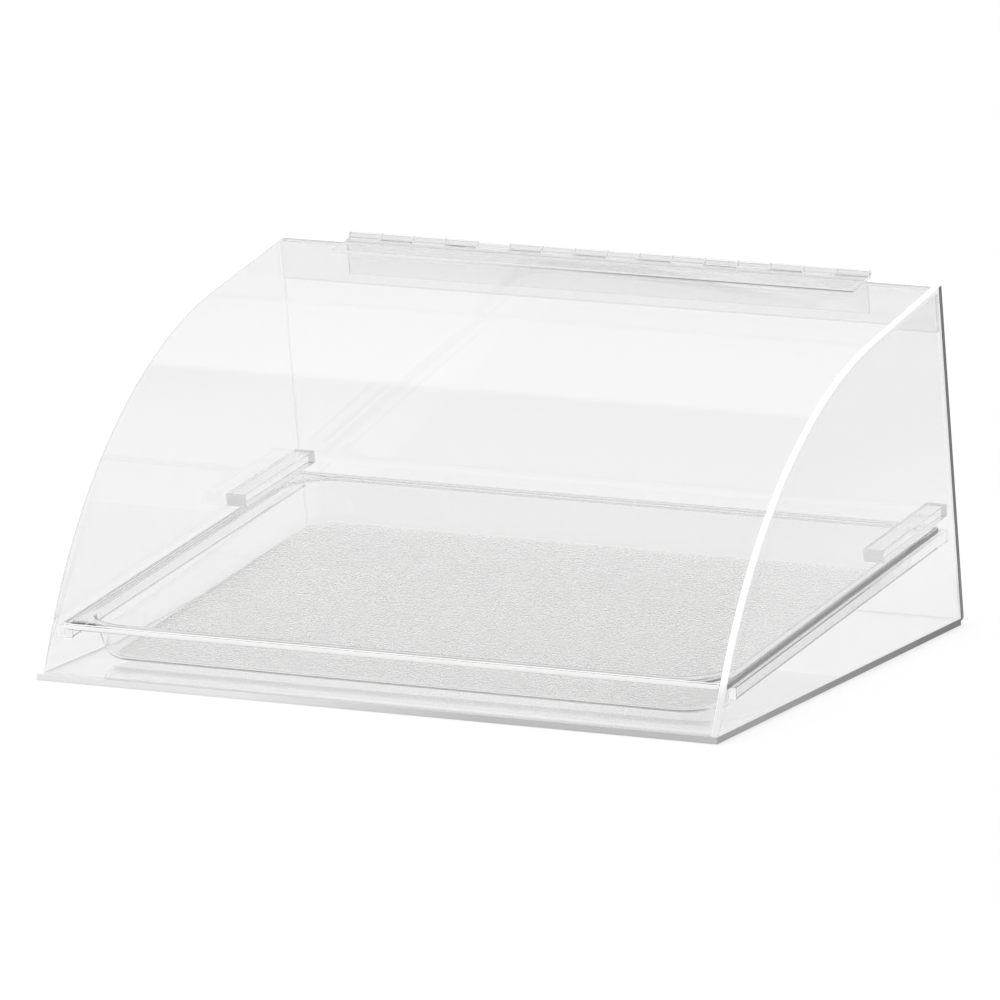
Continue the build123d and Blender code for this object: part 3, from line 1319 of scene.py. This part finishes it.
@dataclass
class DisplayTray:
    """The moulded tray: flat rim with a turned-down lip, sloping walls, pebbled floor.

    The bend at its foot carries painted shade where it faces the front: where the Y share of its
    normal, seen from above, is under foot_front.
    """

    place: SlopingPlace
    width: float = 510.0
    length: float = 381.0
    depth: float = 31.75
    foot_front: float = -0.35
    wall: float = 2.5
    flange: float = 10.0
    lip_height: float = 4.5
    lip_width: float = 3.0
    draft: float = 17.0
    rim_corner: float = 7.0
    mouth_corner: float = 33.0
    floor_fillet: float = 10.0
    mouth_fillet: float = 4.0
    edge_round: float = 0.9
    lip_round: float = 0.5
    least_corner: float = 0.3
    corner_steps: int = 14
    fillet_steps: int = 10
    mouth_steps: int = 6
    round_steps: int = 4

    def fillet_rings(self, low: float, skin: float, radius: float) -> list[Ring]:
        """The rounding between a wall and the floor below it, wall first.

        Args:
            low: height of the floor.
            skin: how far outside the mouth's line the wall's face lies.
            radius: the rounding's radius.

        Returns:
            Its rings.
        """
        draft = math.radians(self.draft)
        turn = math.pi / 2 - draft
        drift = -low * math.tan(draft) - skin / math.cos(draft)
        centre_inset = self.flange + drift + radius * math.tan(turn / 2)
        rings = []
        for index in range(self.fillet_steps + 1):
            facing = draft + turn * index / self.fillet_steps
            inset = centre_inset - radius * math.cos(facing)
            high = low + radius - radius * math.sin(facing)
            rings.append(Ring(inset, high, self.mouth_corner + self.flange - inset))
        return rings

    def quarter(
        self, inset: float, high: float, corner: float, size: float, start: float, end: float
    ) -> list[Ring]:
        """A small rounding about a centre, from one angle to another, in degrees; its bands get the
        rim's painted shade line.

        Args:
            inset: how far in from the rim the centre lies.
            high: the centre's height.
            corner: how round the tray is there.
            size: the rounding's radius.
            start: the first angle.
            end: the last angle.

        Returns:
            Its rings.
        """
        rings = []
        for index in range(self.round_steps + 1):
            angle = math.radians(start + (end - start) * index / self.round_steps)
            shift = size * math.cos(angle)
            ring = Ring(inset - shift, high + size * math.sin(angle), corner + shift, Plastic.RIM_SHADE_LINE)
            rings.append(ring)
        return rings

    def rings(self) -> list[Ring]:
        """Every ring from the top of the floor, over the rim, to the underside of the floor.

        Returns:
            The rings, top of the floor first.
        """
        inside_low = -(self.depth - self.wall)
        top = list(reversed(self.fillet_rings(inside_low, 0.0, self.floor_fillet - self.wall)))
        top += self.mouth_rings(self.mouth_fillet)
        r = self.edge_round
        top += self.quarter(r, -r, self.rim_corner - r, r, 90.0, 0.0)
        # the lip's outer band: painted shade, turned to painted glow where it does not face right
        top[-1] = replace(top[-1], finish=Plastic.LIP_SIDE)
        r = self.lip_round
        low = r - self.lip_height
        inner = self.lip_width - r
        top += self.quarter(r, low, self.rim_corner - r, r, 0.0, -90.0)
        top += self.quarter(inner, low, self.rim_corner - inner, r, -90.0, -180.0)
        top[-1] = replace(top[-1], finish=Plastic.TRAY)
        top.append(Ring(self.lip_width, -self.wall, self.rim_corner - self.lip_width))
        top += reversed(self.mouth_rings(self.mouth_fillet - self.wall))
        outside = self.fillet_rings(-self.depth, self.wall, self.floor_fillet)
        steps = self.fillet_steps
        # the front of the foot's bend: a painted shade line
        for index in range(steps // 2 + 1, steps - 1):
            outside[index] = replace(outside[index], finish=Plastic.FOOT_SHADE_LINE)
        return top + outside

    def mouth_rings(self, radius: float) -> list[Ring]:
        """The bend from the walls out to the flat rim, on either skin, wall first.

        Args:
            radius: the bend's radius on this skin.

        Returns:
            Its rings.
        """
        draft = math.radians(self.draft)
        turn = math.pi / 2 - draft
        leg = self.mouth_fillet * math.tan(turn / 2)
        rings = []
        for index in range(self.mouth_steps + 1):
            angle = draft + turn * index / self.mouth_steps
            shift = radius * math.cos(angle)
            high = radius * math.sin(angle) - self.mouth_fillet
            rings.append(Ring(self.flange - leg + shift, high, self.mouth_corner + leg - shift))
        return rings

    def ring_points(self, ring: Ring) -> list[Spot]:
        """Corners of one ring in the case's frame.

        Args:
            ring: the rounded rectangle.

        Returns:
            The corners, in order round the tray.
        """
        half_w = self.width / 2 - ring.inset
        corner = max(ring.corner, self.least_corner)
        spots = []
        turns = (
            (half_w - corner, ring.inset + corner, -90.0),
            (half_w - corner, self.length - ring.inset - corner, 0.0),
            (-half_w + corner, self.length - ring.inset - corner, 90.0),
            (-half_w + corner, ring.inset + corner, 180.0),
        )
        for centre_x, centre_l, start in turns:
            for index in range(self.corner_steps + 1):
                way = along(start + 90.0 * index / self.corner_steps)
                spots.append(
                    self.place.at(centre_x + corner * way[0], centre_l + corner * way[1], ring.high)
                )
        return spots

    def build(self) -> bpy.types.Object:
        """Make the tray.

        Returns:
            The finished tray.
        """
        finishes = [
            Plastic.TRAY,
            Plastic.PEBBLE,
            Plastic.RIM_SHADE_LINE,
            Plastic.FOOT_SHADE_LINE,
            Plastic.LIP_SIDE,
            Plastic.LIP_FRONT,
            Plastic.LIP_FOOT,
        ]
        piece = Piece("display_tray_moulding", "tray", "clear_tray", finishes)
        rings = self.rings()
        rows = [[piece.vertex(*spot) for spot in self.ring_points(ring)] for ring in rings]
        coats = {}
        for ring, upper, lower in zip(rings, rows, rows[1:]):
            count = len(upper)
            for index in range(count):
                after = (index + 1) % count
                face = piece.form.faces.new((upper[index], upper[after], lower[after], lower[index]))
                coats[face] = ring.finish
        for row in (rows[0], list(reversed(rows[-1]))):
            coats[piece.form.faces.new(row)] = Plastic.PEBBLE
        bmesh.ops.recalc_face_normals(piece.form, faces=piece.form.faces)

        def finish(face: bmesh.types.BMFace) -> Plastic:
            """The band's own finish: painted shade on the right lip, the rim's rounding and the front of
            the foot; painted glow on the rest of the lip and the rim's front, whose foot has painted
            shade at its left end.

            Args:
                face: the face to finish.

            Returns:
                Its finish.
            """
            coat, way = coats[face], face.normal
            if coat is Plastic.LIP_SIDE and way.x < MOSTLY:
                return Plastic.LIP_FRONT
            if coat is Plastic.FOOT_SHADE_LINE and way.y > self.foot_front * math.hypot(way.x, way.y):
                return Plastic.TRAY
            if coat is Plastic.RIM_SHADE_LINE and way.y < -MAINLY and abs(way.z) > BARELY:
                return Plastic.LIP_FRONT if way.z > 0.0 else Plastic.LIP_FOOT
            return coat

        piece.paint(finish)
        return piece.done("display_tray")


@dataclass
class TraySupports:
    """The sloping rails under the rim and the hold-down bars above it."""

    profile: CaseProfile
    place: SlopingPlace
    bond: float = 0.04
    chamfer: float = 0.5
    rail_width: float = 6.35
    rail_height: float = 9.5
    rail_top: float = -4.7
    rail_start: float = 10.5
    end: float = 386.0
    hold_width: float = 16.0
    hold_height: float = 9.5
    hold_gap: float = 4.8
    hold_length: float = 115.0

    def bar(
        self, node: str, sign: float, width: float, low: float, high: float, start: float, cut: Plastic
    ) -> bpy.types.Object:
        """One bar on the inner face of a side, with a painted glow on its ends.

        Args:
            node: the CAD node that it stands for.
            sign: -1 for left and 1 for right.
            width: how far it reaches in from the side.
            low: height of its underside above the rim's plane.
            high: height of its top above it.
            start: its front end along the slope.
            cut: the finish of its ends, which paints a glow on them.

        Returns:
            The finished bar.
        """
        piece = Piece(f"{node}_bar", "case", "clear_bar", [Plastic.BAR, cut])
        reach = self.profile.width / 2 - self.profile.sheet
        outer = sign * (reach + self.bond)
        inner = sign * (reach - width)
        corners = []
        for x in (outer, inner):
            for length in (start, self.end):
                for level in (low, high):
                    corners.append(piece.vertex(*self.place.at(x, length, level)))
        for quad in ((0, 1, 3, 2), (4, 6, 7, 5), (0, 4, 5, 1), (2, 3, 7, 6), (0, 2, 6, 4), (1, 5, 7, 3)):
            piece.form.faces.new([corners[index] for index in quad])
        bmesh.ops.recalc_face_normals(piece.form, faces=piece.form.faces)
        piece.chamfer(self.chamfer)
        piece.paint(lambda face: cut if abs(face.normal.y) > SQUARELY else Plastic.BAR)
        return piece.done(node)

    def build(self) -> list[bpy.types.Object]:
        """Make both rails and both hold-downs.

        Returns:
            The finished bars.
        """
        made = []
        for hand, sign in (("left", -1.0), ("right", 1.0)):
            rail = self.rail_width, self.rail_top - self.rail_height, self.rail_top, self.rail_start
            hold = self.hold_width, self.hold_gap, self.hold_gap + self.hold_height
            start = self.end - self.hold_length
            made.append(self.bar(f"{hand}_tray_rail", sign, *rail, Plastic.BRIGHT_EDGE))
            made.append(self.bar(f"{hand}_hold_down", sign, *hold, start, Plastic.FROSTED_GLOW_END))
        return made


# ---------------------------------------------------------------------------
# studio
# ---------------------------------------------------------------------------
@dataclass
class Studio:
    """Floor, light and camera.

    Each sky stop is an angle in degrees from the back over the top to the front, and a grey.
    Each floor run is two places along X in metres, and how bright gloss and rays through the plastic see
    the floor there: painted shade that the case shows, while the camera sees the floor plain.
    """

    azimuth: float = 25.2057
    elevation: float = 11.2694
    roll: float = 0.3722
    yaw: float = 0.0009
    pitch: float = -0.0604
    distance: float = 8000.0
    lens: float = 405.95
    aim: Spot = (0.0, FRONT + 210.0, 120.0)
    floor_drop: float = 0.3
    floor_size: float = 40.0
    floor_glow: float = 0.52
    floor_runs: tuple[tuple[Run, Run], ...] = (((0.3, 0.6), (1.0, 0.1)), ((0.12, 0.22), (1.0, 0.86)))
    ambient: float = 0.72
    sky: tuple[tuple[float, float], ...] = (
        (0.0, 1.0),
        (20.0, 1.0),
        (33.2, 0.78),
        (35.0, 0.85),
        (66.0, 0.85),
        (68.0, 0.34),
        (130.0, 0.38),
        (150.0, 0.36),
        (180.0, 0.42),
    )
    side_sky: float = 0.8
    side_run: Run = (0.3, 0.6)

    def build(self) -> None:
        """Make the whole studio."""
        self.camera()
        self.floor()
        self.world()
        self.lamps()
        cycles = bpy.context.scene.cycles
        cycles.max_bounces = 40
        cycles.transmission_bounces = 36
        cycles.glossy_bounces = 24
        cycles.diffuse_bounces = 4
        cycles.transparent_max_bounces = 40
        bpy.context.scene.view_settings.view_transform = "Standard"

    def camera(self) -> None:
        """The camera, far away on a long lens."""
        az, el, roll = (math.radians(v) for v in (self.azimuth, self.elevation, self.roll))
        yaw, pitch = math.radians(self.yaw), math.radians(self.pitch)
        forward = Vector((-math.sin(az) * math.cos(el), math.cos(az) * math.cos(el), -math.sin(el)))
        right = Vector((math.cos(az), math.sin(az), 0.0))
        up = right.cross(forward)
        stand = Vector(self.aim) - forward * self.distance
        ahead = forward * math.cos(yaw) + right * math.sin(yaw)
        right = right * math.cos(yaw) - forward * math.sin(yaw)
        forward = ahead * math.cos(pitch) + up * math.sin(pitch)
        up = up * math.cos(pitch) - ahead * math.sin(pitch)
        tilted_right = right * math.cos(roll) - up * math.sin(roll)
        tilted_up = right * math.sin(roll) + up * math.cos(roll)
        turn = Matrix((tilted_right, tilted_up, -forward)).transposed().to_4x4()
        lens = bpy.data.cameras.new("camera")
        lens.lens = self.lens
        lens.sensor_width = 36.0
        lens.clip_end = 200.0
        eye = bpy.data.objects.new("camera", lens)
        eye.matrix_world = Matrix.Translation(stand * MM) @ turn
        bpy.context.scene.collection.objects.link(eye)
        bpy.context.scene.camera = eye

    @staticmethod
    def seen(shop: NodeShop) -> Signal:
        """1 for rays that look at a surface directly, in gloss or through clear plastic.

        Args:
            shop: the maker that adds the nodes.

        Returns:
            The signal.
        """
        names = ("Is Camera Ray", "Is Glossy Ray", "Is Transmission Ray")
        rays = [shop.node("ShaderNodeLightPath", None, None, name) for name in names]
        return rays[0].at_least(rays[1]).at_least(rays[2])

    def floor(self) -> None:
        """A plain pale floor that keeps a faint shadow; to gloss and through the plastic it is darker
        along the floor runs, as painted shade.
        """
        mesh = bpy.data.meshes.new("floor")
        half = self.floor_size / 2
        low = -self.floor_drop * MM
        corners = [(-half, -half, low), (half, -half, low), (half, half, low), (-half, half, low)]
        mesh.from_pydata(corners, [], [(0, 1, 2, 3)])
        material = bpy.data.materials.new("pale_floor")
        material.use_nodes = True
        shop = NodeShop(material.node_tree)
        across = shop.part(shop.place(), 0)
        lit = self.seen(shop)
        # painted shade: dims the floor only where the case mirrors it or shows it through
        for run, levels in self.floor_runs:
            lit = lit * shop.between(across, *levels, run)
        lit = lit.at_least(shop.node("ShaderNodeLightPath", None, None, "Is Camera Ray"))
        matt = shop.node("ShaderNodeBsdfDiffuse", None, {"Color": grey(0.5)})
        shine = {"Color": grey(1.0), "Strength": lit * self.floor_glow}
        glow = shop.node("ShaderNodeEmission", None, shine)
        shop.close(shop.node("ShaderNodeAddShader", None, {0: matt, 1: glow}))
        mesh.materials.append(material)
        floor = bpy.data.objects.new("floor", mesh)
        bpy.context.scene.collection.objects.link(floor)

    def world(self) -> None:
        """Soft light from all round; what gloss mirrors changes overhead and to the sides."""
        world = bpy.data.worlds.new("studio")
        bpy.context.scene.world = world
        world.use_nodes = True
        shop = NodeShop(world.node_tree)
        way = shop.node("ShaderNodeTexCoord", output="Generated")
        across, back, rise = (shop.part(way, axis) for axis in range(3))
        arc = shop.node("ShaderNodeMath", {"operation": "ARCTAN2"}, {0: rise, 1: back})
        stops = [(angle / 180.0, level) for angle, level in self.sky]
        wall = shop.node("ShaderNodeValToRGB", {"stops": stops}, {0: arc / math.pi})
        aside = shop.between(across * across, 0.0, 1.0, self.side_run)
        wall = shop.blend(aside, wall, grey(self.side_sky))
        seen = shop.node("ShaderNodeBackground", None, {"Color": wall})
        camera = shop.node("ShaderNodeBackground", None, {"Color": grey(1.0)})
        soft = {"Color": grey(1.0), "Strength": self.ambient}
        light = shop.node("ShaderNodeBackground", None, soft)
        straight = shop.node("ShaderNodeLightPath", None, None, "Is Camera Ray")
        inner = shop.node("ShaderNodeMixShader", None, {0: self.seen(shop), 1: light, 2: seen})
        shop.close(shop.node("ShaderNodeMixShader", None, {0: straight, 1: inner, 2: camera}))

    def lamps(self) -> None:
        """Two very soft lamps that light the floor evenly."""
        for name, way, spread, power in (
            ("overhead", (0.12, 0.10, 1.0), 60.0, 0.6),
            ("front_left", (-0.8, -1.0, 0.9), 45.0, 0.5),
        ):
            lamp = bpy.data.lights.new(name, "SUN")
            lamp.angle = math.radians(spread)
            lamp.energy = power
            holder = bpy.data.objects.new(name, lamp)
            holder.matrix_world = Vector(way).to_track_quat("Z", "Y").to_matrix().to_4x4()
            holder.visible_camera = False
            holder.visible_glossy = False
            holder.visible_transmission = False
            bpy.context.scene.collection.objects.link(holder)


def main() -> None:
    """Build the case, its door, hinge, tray and bars, and the studio round them."""
    logging.basicConfig(level=logging.INFO, format="%(message)s")
    profile = CaseProfile()
    place = SlopingPlace()
    Studio().build()
    CaseShell(profile).build()
    RearDoor(profile).build()
    ContinuousHinge(profile).build()
    DisplayTray(place).build()
    TraySupports(profile, place).build()


if __name__ == "__main__":
    main()
